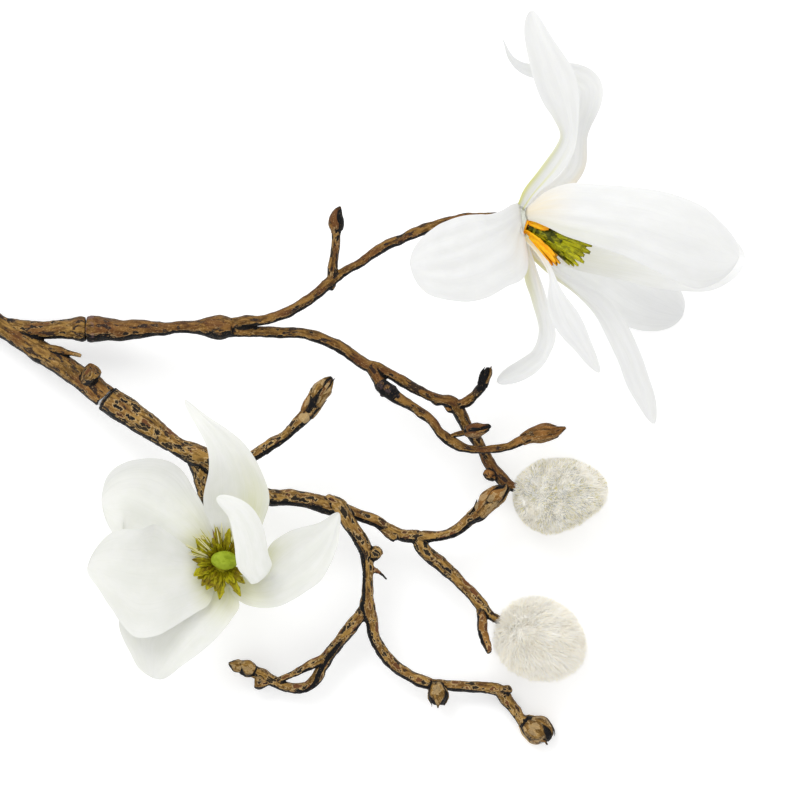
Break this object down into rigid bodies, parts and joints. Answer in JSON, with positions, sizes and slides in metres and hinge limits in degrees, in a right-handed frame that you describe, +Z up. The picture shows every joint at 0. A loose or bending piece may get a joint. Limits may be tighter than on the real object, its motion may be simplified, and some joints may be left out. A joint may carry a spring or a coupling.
{
  "type": "magnolia branch",
  "caption": "Cut saucer magnolia branch lying flat: forked brown wood with open white blooms, fuzzy flower buds and small brown leaf buds.",
  "frame": {"origin": "on the surface the branch lies on, under the middle of the part's bounding box", "axes": "+X along the branch from the cut end of the stem towards the upper bloom; +Y across it, from the lower bloom's side towards the upper bloom's side; +Z up from the surface"},
  "size_m": [0.3354, 0.2634, 0.0825],
  "materials": {
    "bark": "rough golden-brown bark flecked with dark marks",
    "peg": "pale grey, smooth",
    "bloom_base": "matte pale green",
    "tepal": "soft satin white, a little translucent, yellow-green at the claws",
    "olive_straps": "satin olive green",
    "orange_straps": "satin orange-yellow",
    "green_knob": "satin light green",
    "fuzz": "dense short pale hairs"
  },
  "bodies": {
    "root": {"main_stem": "bark", "upper_spray": "bark", "lower_spray": "bark", "upper_peg": "peg", "lower_peg": "peg", "lower_bloom_base": "bloom_base", "lower_tepal_1": "tepal", "lower_tepal_2": "tepal", "lower_tepal_3": "tepal", "lower_tepal_4": "tepal", "lower_tepal_5": "tepal", "lower_tepal_6": "tepal", "lower_bloom_stamens": "olive_straps", "lower_bloom_pistil": "green_knob", "upper_bloom_base": "bloom_base", "upper_tepal_1": "tepal", "upper_tepal_2": "tepal", "upper_tepal_3": "tepal", "upper_tepal_4": "tepal", "upper_tepal_5": "tepal", "upper_tepal_6": "tepal", "upper_tepal_7": "tepal", "upper_tepal_8": "tepal", "upper_tepal_9": "tepal", "upper_bloom_stamens": "orange_straps", "upper_bloom_pistil": "olive_straps", "fuzzy_bud_1": "fuzz", "fuzzy_bud_2": "fuzz"}
  },
  "joints": []
}
